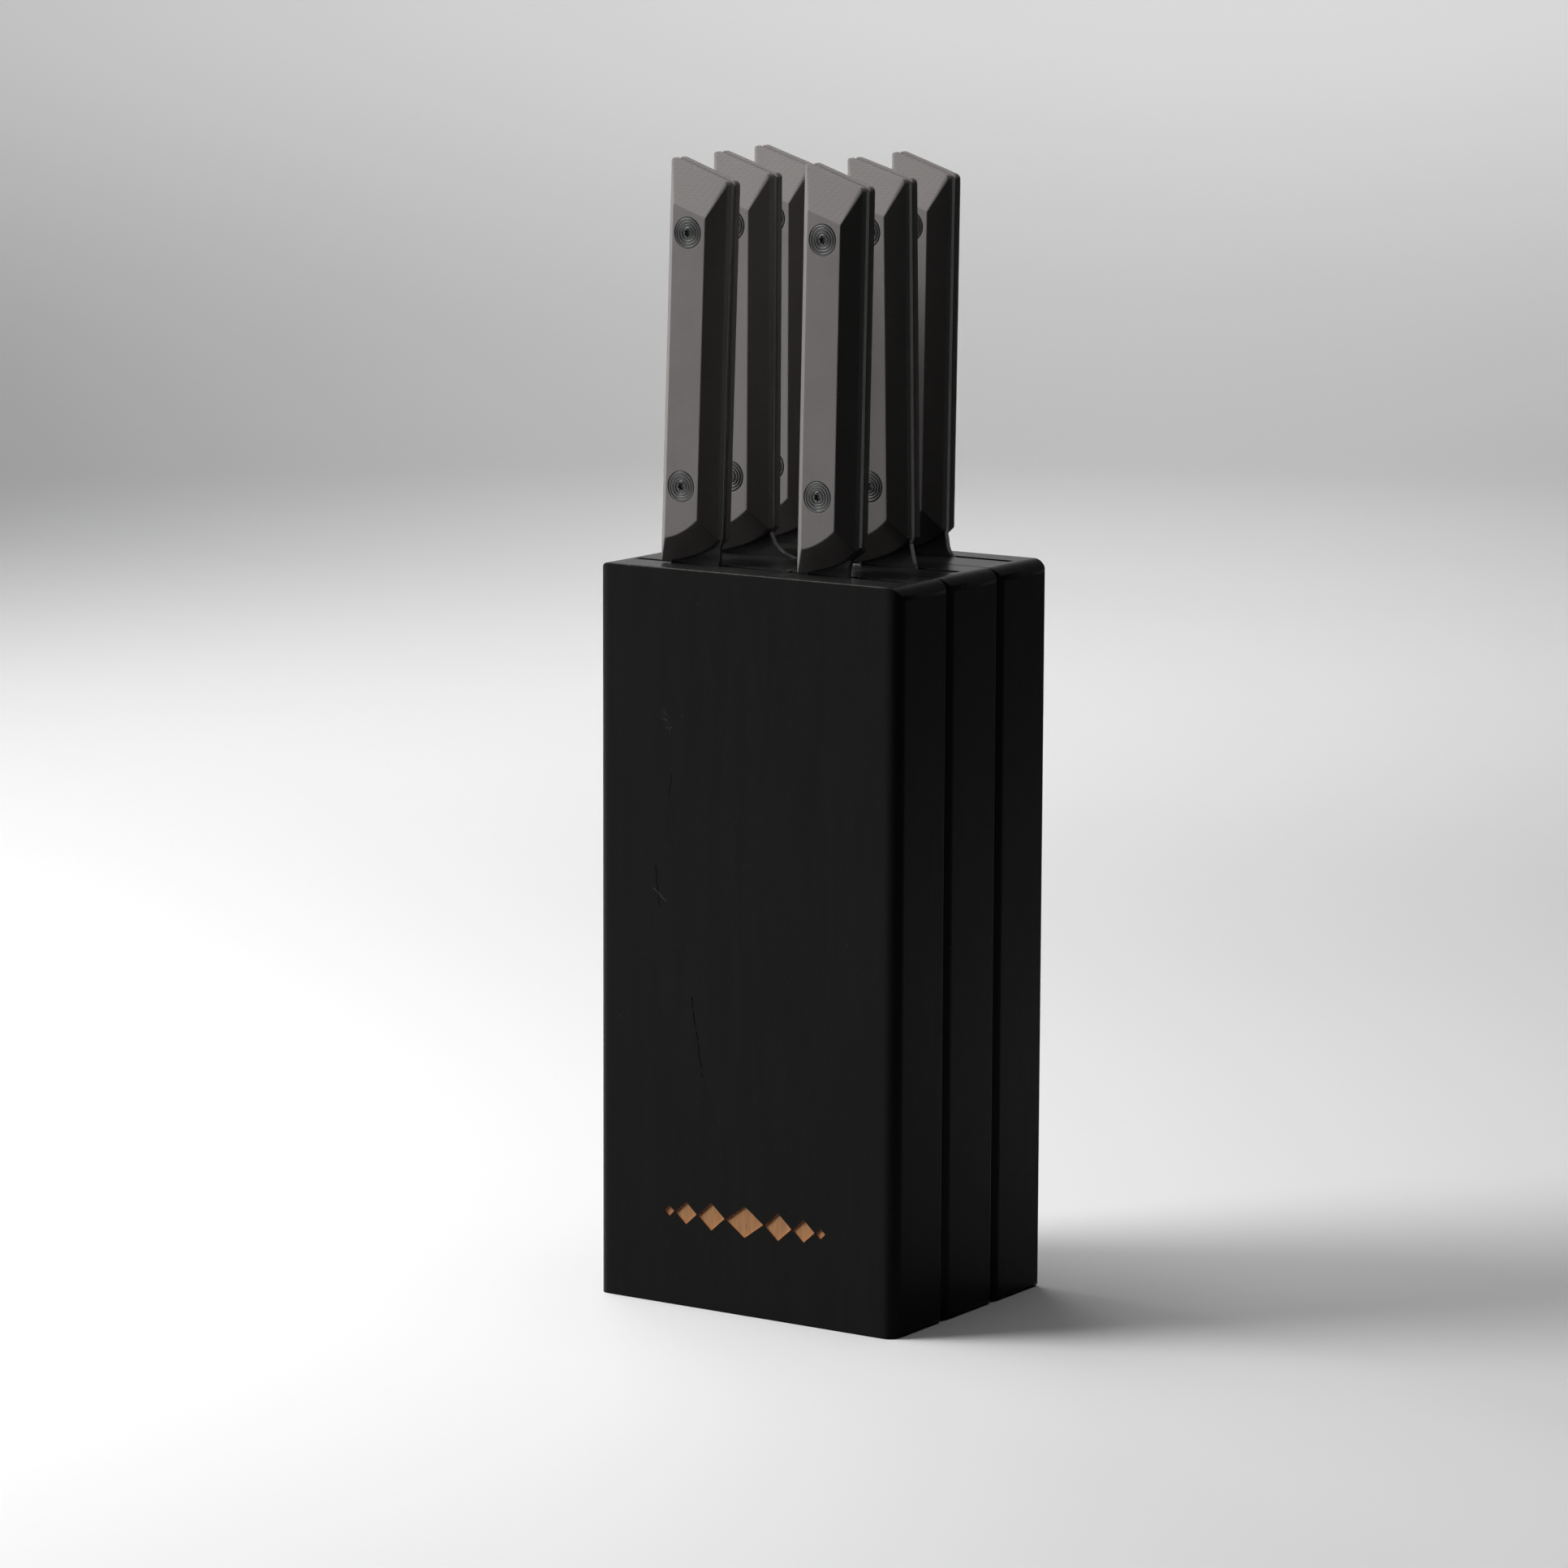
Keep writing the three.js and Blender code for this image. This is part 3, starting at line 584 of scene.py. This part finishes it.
def cut_all(o, shapes):
    """Cuts several shapes that don't touch each other in one go."""
    verts, faces = [], []
    for v, f in shapes:
        base = len(verts)
        verts += v
        faces += [tuple(base + i for i in face) for face in f]
    return cut(o, new_object("tool", mesh_from("tool", verts, faces, []))) if shapes else o


def wood_piece(name, x, y, z, radius_of, cuts=(), front=0.0, back=0.0, emblem=False):
    """A board or strip. radius_of gives the radius of each small edge; the big roundings are cut afterwards, so two of them meet in a mitre."""
    (x0, x1), (y0, y1), (z0, z1) = x, y, z
    bm = bmesh.new()
    vs = [bm.verts.new((a * MM, b * MM, c * MM)) for c in (z0, z1) for b in (y0, y1) for a in (x0, x1)]
    for f in ((0, 2, 3, 1), (4, 5, 7, 6), (0, 1, 5, 4), (2, 6, 7, 3), (0, 4, 6, 2), (1, 3, 7, 5)):
        bm.faces.new([vs[i] for i in f])
    for c in cuts:
        bmesh.ops.bisect_plane(bm, geom=bm.verts[:] + bm.edges[:] + bm.faces[:], plane_co=(c * MM, 0, 0), plane_no=(1, 0, 0))
    bmesh.ops.recalc_face_normals(bm, faces=bm.faces)
    me = bpy.data.meshes.new(name)
    bm.to_mesh(me)
    bm.free()
    o = new_object(name, me)
    widest = 0.5
    w = me.attributes.new("bevel_weight_edge", "FLOAT", "EDGE")
    values = []
    for e in me.edges:
        a, b = (me.vertices[i].co / MM for i in e.vertices)
        values.append(radius_of((a + b) / 2, (b - a).normalized()) / widest)
    w.data.foreach_set("value", values)
    if max(values) > 0:
        b = o.modifiers.new("round", "BEVEL")
        b.limit_method = "WEIGHT"
        b.width = widest * MM
        b.segments = 3
        b.use_clamp_overlap = False
        applied(o)
    span = (y0 - 1, y1 + 1)
    shapes = []
    for side in (-1, 1):
        if near(side * HALF_W, x0 if side < 0 else x1):
            if near(z1, HEIGHT):
                shapes.append(corner_cut(R_TOP, (side * HALF_W, HEIGHT), (side, 1), "y", span))
            if near(z0, 0):
                shapes.append(corner_cut(R_FOOT, (side * HALF_W, 0), (side, -1), "y", span, 5))
    cut_all(o, shapes)
    shapes = []
    for side in (-1, 1):
        if front:
            shapes.append(corner_cut(front, (side * HALF_W, y0), (side, -1), "z", (z0 - 1, z1 + 1)))
        if back:
            shapes.append(corner_cut(back, (side * HALF_W, y1), (side, 1), "z", (z0 - 1, z1 + 1), 5))
    cut_all(o, shapes)
    if emblem:
        for cx, hw, hh in EMBLEM:
            v, f = prism(rounded([(cx - hw, EMBLEM_Z, 0.15), (cx, EMBLEM_Z - hh, 0.15), (cx + hw, EMBLEM_Z, 0.15), (cx, EMBLEM_Z + hh, 0.15)], 3), y0 - 1.0, y0 + EMBLEM_DEPTH)
            cut(o, new_object("tool", mesh_from("tool", v, f, [])))
    me = o.data
    me.materials.clear()
    me.materials.append(WOOD)
    if emblem:
        me.materials.append(BARE)
    for p in me.polygons:
        c = p.center / MM
        p.material_index = 1 if (emblem and y0 + 0.02 < c.y < y0 + EMBLEM_DEPTH + 0.02 and abs(c.z - EMBLEM_Z) < 6 and abs(c.x) < 33 and abs(p.normal.z) < 0.9 or emblem and near(c.y, y0 + EMBLEM_DEPTH, 0.03) and abs(c.z - EMBLEM_Z) < 6 and abs(c.x) < 33) else 0
    return shade(o, 30)


def near(a, b, tol=0.02):
    return abs(a - b) < tol


for slab, y0, y1, slot_y, divider in SLABS:
    f, b = slot_y - SLOT_HALF, slot_y + SLOT_HALF
    g0, g1 = f - 0.1, b + 0.1     # the glue faces of the two boards
    slots = ((SLOT_LEFT, divider[0]), (divider[1], SLOT_RIGHT))

    def outer(mid, d, y0=y0, y1=y1, g0=g0, g1=g1, slots=slots):
        """Radius of an edge of a slab, from where it is."""
        along_x = abs(d.x) > 0.99
        if along_x and near(mid.z, HEIGHT) and near(mid.y, y0):
            return 0.45
        if along_x and near(mid.z, HEIGHT) and near(mid.y, y1):
            return 0.4
        if along_x and near(mid.z, 0) and (near(mid.y, y0) or near(mid.y, y1)):
            return 0.5
        if along_x and near(mid.z, HEIGHT) and (near(mid.y, g0) or near(mid.y, g1)) and any(a < mid.x < c for a, c in slots):
            return 0.18
        return 0.0

    ends = (SLOT_LEFT, *divider, SLOT_RIGHT)
    made = [
        (wood_piece(slab + "_front_board_fine", (-HALF_W, HALF_W), (y0, g0), (0, HEIGHT), outer, ends, front=R_FRONT, emblem=slab == "front_slab"), "_front_board"),
        (wood_piece(slab + "_back_board_fine", (-HALF_W, HALF_W), (g1, y1), (0, HEIGHT), outer, ends, back=R_BACK), "_back_board"),
        (wood_piece(slab + "_left_strip_fine", (-HALF_W, SLOT_LEFT), (g0, g1), (SLOT_FLOOR, HEIGHT), outer), "_left_strip"),
        (wood_piece(slab + "_right_strip_fine", (SLOT_RIGHT, HALF_W), (g0, g1), (SLOT_FLOOR, HEIGHT), outer), "_right_strip"),
        (wood_piece(slab + "_middle_strip_fine", divider, (g0, g1), (SLOT_FLOOR, HEIGHT), outer), "_middle_strip"),
        (wood_piece(slab + "_bottom_strip_fine", (-HALF_W, HALF_W), (g0, g1), (0, SLOT_FLOOR), outer), "_bottom_strip"),
    ]
    for piece, part in made:
        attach(piece, "block")
        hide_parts(slab + part)


# ------------------------------------------------------------------ scales
STEP = 10


def outline(arc, x1, x0, top, corner, corner_spine, foot_right, foot_left):
    """Closed outline, counter-clockwise seen with X right and Z up: along the foot, up the edge side, along the top."""
    foot = through(arc, 4)
    pts = [(foot[0][0], foot[0][1], foot_left)] + [(a, c, 0) for a, c in foot[1:-1]] + [(foot[-1][0], foot[-1][1], foot_right)]
    pts += [(x1, top(x1), corner), (x0, top(x0), corner_spine)]
    return rounded(pts, STEP)


LAND_LINE = outline(FOOT_ARC, HANDLE_W, 0.0, butt, 1.8, 0.7, 0.7, 0.45)
CREST_LINE = outline(CREST_ARC, CREST_X1, CREST_X0, lambda x: butt(x) - CREST_DROP, 0.45, 0.45, 0.4, 0.4)


def scale_mesh(name):
    """A scale on the +Y side of the tang. Rings run from the tang outwards, with the creases rounded."""
    a, c = LAND_LINE, CREST_LINE
    n = len(a)
    slope = [math.hypot(math.hypot(c[k][0] - a[k][0], c[k][1] - a[k][1]), CROWN_T) for k in range(n)]

    def at(k, t):
        return (a[k][0] + (c[k][0] - a[k][0]) * t, LAND + CROWN_T * t, a[k][1] + (c[k][1] - a[k][1]) * t)

    def bend(p0, p1, p2, t):
        return tuple((1 - t) ** 2 * p0[i] + 2 * t * (1 - t) * p1[i] + t * t * p2[i] for i in range(3))

    rings = []
    a_in = inset(a, 0.16)
    rings.append([(x, INNER, z) for x, z in a_in])
    rings.append([(x, INNER + 0.16, z) for x, z in a])
    soft, steps = 0.38, 4
    for s in range(steps + 1):
        rings.append([bend((a[k][0], LAND - soft, a[k][1]), (a[k][0], LAND, a[k][1]), at(k, soft / slope[k]), s / steps) for k in range(n)])
    c_in = inset(c, 0.34)
    for s in range(steps + 1):
        rings.append([bend(at(k, 1 - soft / slope[k]), (c[k][0], OUTER, c[k][1]), (c_in[k][0], OUTER, c_in[k][1]), s / steps) for k in range(n)])
    verts = [v for r in rings for v in r]
    faces = []
    for r in range(len(rings) - 1):
        for k in range(n):
            k2 = (k + 1) % n
            faces.append((r * n + k, r * n + k2, (r + 1) * n + k2, (r + 1) * n + k))
    faces.append(tuple(range(n)))
    faces.append(tuple((len(rings) - 1) * n + k for k in range(n)))
    me = mesh_from(name, verts, faces, [GRIP])
    o = new_object(name, me)
    for z in FASTENER_Z:
        v, f = lathe([(0, OUTER - 2.15), (4.90, OUTER - 2.15), (4.90, OUTER - 0.13), (5.06, OUTER + 0.03), (5.06, OUTER + 1.0), (0, OUTER + 1.0)], 64)
        tool = new_object("tool", mesh_from("tool", v, f, []), Matrix.Translation((FASTENER_X * MM, 0, z * MM)))
        cut(o, tool)
    o.data.materials.clear()
    o.data.materials.append(GRIP)
    shade(o, 33)
    me = o.data
    bpy.data.objects.remove(o)
    return me


def turned_in_y(me, name):
    """The same mesh on the other side of the XZ plane."""
    m = me.copy()
    m.name = name
    bm = bmesh.new()
    bm.from_mesh(m)
    bmesh.ops.scale(bm, vec=(1, -1, 1), verts=bm.verts)
    bmesh.ops.reverse_faces(bm, faces=bm.faces)
    bm.to_mesh(m)
    bm.free()
    o = new_object("tool", m)
    shade(o, 33)
    m = o.data
    m.name = name
    bpy.data.objects.remove(o)
    return m


BACK_SCALE = scale_mesh("back_scale")
FRONT_SCALE = turned_in_y(BACK_SCALE, "front_scale")

# ------------------------------------------------------------------ fasteners
# The head's face, from the rim to the middle: (radius, depth below the flat).
FACE = [
    (4.75, 0.42), (4.75, 0.14), (4.71, 0.05), (4.62, 0.0),
    (4.12, 0.0), (4.06, 0.03), (4.02, 0.16), (3.92, 0.20), (3.82, 0.16), (3.78, 0.03), (3.70, 0.0),
    (3.16, 0.0), (3.09, 0.03), (3.04, 0.18), (2.93, 0.23), (2.82, 0.18), (2.77, 0.03), (2.68, 0.0),
    (2.26, 0.0), (2.18, 0.04), (2.12, 0.26), (2.02, 0.32), (1.92, 0.26), (1.86, 0.12), (1.74, 0.07), (1.5, 0.06), (1.0, 0.06), (0.5, 0.06),
]


def star(r0, r1, steps):
    """A six-lobed star outline."""
    out = []
    for k in range(6 * steps):
        t = 2 * math.pi * k / (6 * steps)
        w = 0.5 + 0.5 * math.cos(6 * t)
        r = r1 + (r0 - r1) * w ** 1.4
        out.append((r * math.cos(t + 0.35), r * math.sin(t + 0.35)))
    return out


def fastener_mesh(name, side, with_star, profile_tail):
    """side -1 is a head on the front scale, +1 on the back. The tail is the rest of the profile down to the axis."""
    face = [(r, side * (OUTER - d)) for r, d in FACE]
    profile = [(0, face[-1][1])] + face[::-1] + profile_tail
    v, f = lathe(profile, 72)
    o = new_object(name, mesh_from(name, v, f, [TURNED]))
    if with_star:
        v, f = prism(star(1.36, 0.84, 10), side * (OUTER - 1.15), side * (OUTER + 0.5))
        cut(o, new_object("tool", mesh_from("tool", v, f, [])))
    else:
        v, f = lathe([(0, side * (OUTER - 0.55)), (0.55, side * (OUTER - 0.50)), (0.95, side * (OUTER - 0.22)), (1.1, side * (OUTER + 0.2)), (0, side * (OUTER + 0.2))], 48)
        cut(o, new_object("tool", mesh_from("tool", v, f, [])))
    o.data.materials.clear()
    o.data.materials.append(TURNED)
    shade(o, 50)
    me = o.data
    bpy.data.objects.remove(o)
    return me


SCREW = fastener_mesh("screw", -1, True, [(4.75, -(OUTER - 2.0)), (1.5, -(OUTER - 2.0)), (1.5, 3.45), (1.35, 3.6), (0, 3.6)])
NUT = fastener_mesh("nut", 1, False, [(4.75, OUTER - 2.0), (2.8, OUTER - 2.0), (2.8, -(OUTER - 2.25)), (1.65, -(OUTER - 2.25)), (1.65, 4.2), (0, 4.2)])


# ------------------------------------------------------------------ blades
def blade_mesh(name, kind):
    """Full-tang blade: a flat plate with a soft rim, and ground faces along the cutting edge."""
    edge_pts, spine_pts = BLADES[kind]
    first, ground = GRINDS[kind]
    h, rim = TANG_T / 2, 0.30
    tang = rounded([(1.8, 0.9, 0), (0.3, 2.6, 0), (0.3, butt(0.3) - 0.6, 5.0), (HANDLE_W - 0.1, butt(HANDLE_W) - 0.6, 1.8), (HANDLE_W - 0.1, 9.4, 0)], STEP)
    neck = through(edge_pts[: first + 1], 5)[:-1]
    # the cutting edge, evenly spaced, and the shoulder of the ground face beside it
    fine = through(edge_pts[first:], 8)
    total = sum(math.dist(p, q) for p, q in zip(fine, fine[1:]))
    pitch = 0.5 if kind == "bread" else 2.0
    count = int(total / pitch)
    even, i, done = [], 0, 0.0
    for k in range(count + 1):
        want = total * k / count
        while i < len(fine) - 2 and done + math.dist(fine[i], fine[i + 1]) < want:
            done += math.dist(fine[i], fine[i + 1])
            i += 1
        t = (want - done) / max(1e-9, math.dist(fine[i], fine[i + 1]))
        even.append((fine[i][0] + (fine[i + 1][0] - fine[i][0]) * t, fine[i][1] + (fine[i + 1][1] - fine[i][1]) * t))
    spine = through(spine_pts[::-1], 6)[::-1]          # from the tip up to the foot of the handle
    tip = even[-1]

    def spine_x(z):
        best = spine[0][0]
        for p, q in zip(spine, spine[1:]):
            if min(p[1], q[1]) <= z <= max(p[1], q[1]):
                s = (z - p[1]) / (q[1] - p[1]) if abs(q[1] - p[1]) > 1e-9 else 0
                best = p[0] + (q[0] - p[0]) * s
        return best

    cutting, shoulder = [], []
    for k, (x, z) in enumerate(even):
        share = k / (len(even) - 1)
        s = total * share
        w = ground * min(1.0, math.sin(min(1.0, s / 9.0) * math.pi / 2))
        room = max(0.0, x - spine_x(z)) if z > spine[0][1] else 0.0
        w = min(w, 0.72 * room)
        bite = 0.0
        if kind == "bread" and s > 6:
            phase = (s % 6.0) / 6.0
            bite = 0.85 * math.sin(math.pi * phase) * min(1.0, (total - s) / 10.0)
        cutting.append((x - bite, z))
        shoulder.append((x - max(w, 0.3 + bite), z + w * 0.02))
    n = len(cutting)
    # outline of the flat part of the plate, counter-clockwise
    outline_pts = list(tang) + neck
    verts, faces, mats = [], [], []

    def ring(points, y):
        base = len(verts)
        verts.extend((x, y, z) for x, z in points)
        return list(range(base, base + len(points)))

    plate = outline_pts                                  # tang, then the neck down to the first cutting point
    back_rim = spine                                     # from the tip up to the handle
    # the plate's own outline: tang + neck (rim all round), shoulder down to the tip, spine up
    p_rim = plate
    m = len(p_rim)
    # inner outlines (rim softened) for both faces
    whole = p_rim + shoulder + back_rim
    area = sum(whole[i - 1][0] * whole[i][1] - whole[i][0] * whole[i - 1][1] for i in range(len(whole)))
    sign = 1 if area > 0 else -1
    soft = inset(whole, rim * sign)
    inner = [soft[i] if (i < m or i >= m + n) else whole[i] for i in range(len(whole))]
    # the softened rim meets the shoulder line at its two ends
    rows = {}
    for side in (-1, 1):
        rows[side] = {
            "flat": ring(inner, side * h),
            "rim": ring(p_rim, side * (h - rim)),
            "back": ring(back_rim, side * (h - rim)),
            "cut": ring(cutting, side * 0.13),
        }
    for side in (-1, 1):
        r = rows[side]
        faces.append(tuple(r["flat"]))
        mats.append(0)
        for k in range(m - 1):
            faces.append((r["flat"][k], r["flat"][k + 1], r["rim"][k + 1], r["rim"][k]))
            mats.append(1)
        for k in range(len(back_rim) - 1):
            i = m + n + k
            faces.append((r["flat"][i], r["flat"][i + 1], r["back"][k + 1], r["back"][k]))
            mats.append(1)
        # from the last spine point to the first tang point
        faces.append((r["flat"][-1], r["flat"][0], r["rim"][0], r["back"][-1]))
        mats.append(1)
        for k in range(n - 1):
            faces.append((r["flat"][m + k], r["flat"][m + k + 1], r["cut"][k + 1], r["cut"][k]))
            mats.append(0)
        # closing the two ends of the ground face
        faces.append((r["flat"][m - 1], r["flat"][m], r["cut"][0], r["rim"][m - 1]))
        mats.append(0)
        faces.append((r["flat"][m + n - 1], r["flat"][m + n], r["back"][0], r["cut"][n - 1]))
        mats.append(0)
    a, b = rows[-1], rows[1]
    loop_a = a["rim"] + a["cut"] + a["back"]
    loop_b = b["rim"] + b["cut"] + b["back"]
    for k in range(len(loop_a)):
        k2 = (k + 1) % len(loop_a)
        faces.append((loop_a[k], loop_a[k2], loop_b[k2], loop_b[k]))
        mats.append(1)
    # only the tang's rim is polished; below the handle the rim keeps the dark finish of the blade
    mats = [0 if sum(verts[v][2] for v in f) / len(f) < 1.0 else m for f, m in zip(faces, mats)]
    me = mesh_from(name, verts, faces, [BLADE, EDGE], mats)
    o = new_object(name, me)
    shade(o, 24)
    me = o.data
    bpy.data.objects.remove(o)
    return me


# ------------------------------------------------------------------ knives
for name, kind, x, y, lean in KNIVES:
    place = Matrix.Translation((x * MM, y * MM, (HEIGHT + HANDLE_REST) * MM)) @ Matrix.Rotation(math.radians(lean), 4, "Y")
    parts = [
        ("_blade", blade_mesh(name + "_blade_fine", kind), "blade_steel", None),
        ("_front_scale", FRONT_SCALE.copy(), "handle_laminate", None),
        ("_back_scale", BACK_SCALE.copy(), "handle_laminate", None),
    ]
    for which, z in zip(("_lower", "_upper"), FASTENER_Z):
        parts.append((which + "_screw", SCREW.copy(), "fastener_steel", z))
        parts.append((which + "_nut", NUT.copy(), "fastener_steel", z))
    for i, (part, me, slot, z) in enumerate(parts):
        m = place
        if z is not None:
            turn = 0.9 * i + 0.37 * len(name)             # each fastener stopped at its own angle
            m = place @ Matrix.Translation((FASTENER_X * MM, 0, z * MM)) @ Matrix.Rotation(turn, 4, "Y")
        me.name = name + part + "_fine"
        o = new_object(name + part + "_fine", me, m)
        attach(o, name)
        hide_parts(name + part)


# ------------------------------------------------------------------ studio
def room():
    """A pale round floor that curves up into a wall all round, far enough out for a look from any side."""
    verts, faces = [], []
    flat, r, top, around = 2.3, 1.2, 3.6, 96
    line = [(0.25, 0.0), (0.5, 0.0), (1.0, 0.0), (1.7, 0.0), (flat, 0.0)]
    for k in range(1, 25):
        t = math.pi / 2 * k / 24
        line.append((flat + r * math.sin(t), r - r * math.cos(t)))
    line.append((flat + r, top))
    verts.append((0.0, 0.0, 0.0))
    for d, z in line:
        for j in range(around):
            t = 2 * math.pi * j / around
            verts.append((d * math.cos(t), d * math.sin(t), z))
    for j in range(around):
        faces.append((0, 1 + j, 1 + (j + 1) % around))
    for i in range(len(line) - 1):
        for j in range(around):
            j2 = (j + 1) % around
            p, q = 1 + i * around, 1 + (i + 1) * around
            faces.append((p + j, q + j, q + j2, p + j2))
    me = bpy.data.meshes.new("studio_room")
    me.from_pydata(verts, [], faces)
    for p in me.polygons:
        p.use_smooth = True
    n = Nodes("studio_paper")
    tone = n.noise(n.vec_scale(n.mm, (0.004, 0.004, 0.004)), 1.0, 2.0)
    n.set(Base_Color=n.mix(tone, (0.80, 0.80, 0.80), (0.82, 0.82, 0.82)), Roughness=0.9)
    n.bsdf.inputs["Specular IOR Level"].default_value = 0.1
    _, _, height = n.xyz(n.mm)
    # painted light: the paper glows by itself, more strongly higher up the wall, in place of light falling on the
    # backdrop
    n.set(Emission_Color=(1.0, 1.0, 1.0), Emission_Strength=n.ramp(height, 0.0, 300.0, 0.0, 0.17))    # lit from behind, higher up
    me.materials.append(n.mat)
    o = new_object("studio_room", me)
    o.visible_diffuse = False        # the paper throws no light back on to the knives


room()


def soft_light(name, at, to, size, spread, power):
    """An area light, at and to in metres."""
    d = bpy.data.lights.new(name, "AREA")
    d.shape = "DISK"
    d.size = size
    d.spread = math.radians(spread)
    d.energy = power
    d.color = (1.0, 1.0, 1.0)
    o = bpy.data.objects.new(name, d)
    bpy.context.scene.collection.objects.link(o)
    at, to = Vector(at), Vector(to)
    o.matrix_world = Matrix.Translation(at) @ (to - at).to_track_quat("-Z", "Y").to_matrix().to_4x4()
    return o


LIGHTS = [
    ("key", (-0.906, -0.679, 1.184), (0, 0, 0.2), 0.7, 180.0, 20.0),
    ("key_low", (-1.113, -0.834, 0.762), (0, 0, 0.2), 0.7, 180.0, 2.5),
    ("left", (-1.297, -0.065, 0.95), (0, 0, 0.2), 0.8, 180.0, 8.0),
    ("left_back", (-1.049, 0.786, 1.118), (0, 0, 0.2), 0.9, 180.0, 5.0),
    ("top", (0, 0, 2.1), (0, 0, 0), 1.1, 180.0, 9.0),
    ("pool_4", (-0.35, -0.25, 1.8), (-0.25, -0.15, 0), 0.4, 40.0, 0.134),
    ("wall_1", (0.6, 0.5, 2.0), (-1.6, 2.9, 1.2), 0.6, 70.0, 12.0),
    ("back_floor", (-0.3, 0.9, 1.9), (-1.0, 1.7, 0.0), 0.6, 70.0, 3.8),
]
for l in LIGHTS:
    soft_light(*l)

world = bpy.data.worlds.new("studio")
world.use_nodes = True
world.node_tree.nodes["Background"].inputs[0].default_value = (1, 1, 1, 1)
world.node_tree.nodes["Background"].inputs[1].default_value = 0.0
bpy.context.scene.world = world

# ------------------------------------------------------------------ camera
AZ, EL, ROLL = math.radians(33.486), math.radians(9.403), math.radians(0.223)
away = Vector((-math.sin(AZ) * math.cos(EL), math.cos(AZ) * math.cos(EL), -math.sin(EL)))
right = Vector((math.cos(AZ), math.sin(AZ), 0.0))
up = right.cross(away)
cam_x = right * math.cos(ROLL) + up * math.sin(ROLL)
cam_y = -right * math.sin(ROLL) + up * math.cos(ROLL)
data = bpy.data.cameras.new("photo_view")
data.lens, data.sensor_width = 147.187, 36.0
data.clip_start, data.clip_end = 0.05, 60.0
camera = bpy.data.objects.new("photo_view", data)
bpy.context.scene.collection.objects.link(camera)
basis = Matrix((cam_x, cam_y, -away)).transposed().to_4x4()
camera.matrix_world = Matrix.Translation((1.09239, -1.67257, 0.49447)) @ basis
bpy.context.scene.camera = camera

bpy.context.scene.view_settings.view_transform = "Standard"
bpy.context.scene.view_settings.look = "None"
bpy.context.scene.view_settings.exposure = 0.0
bpy.context.scene.view_settings.gamma = 1.0
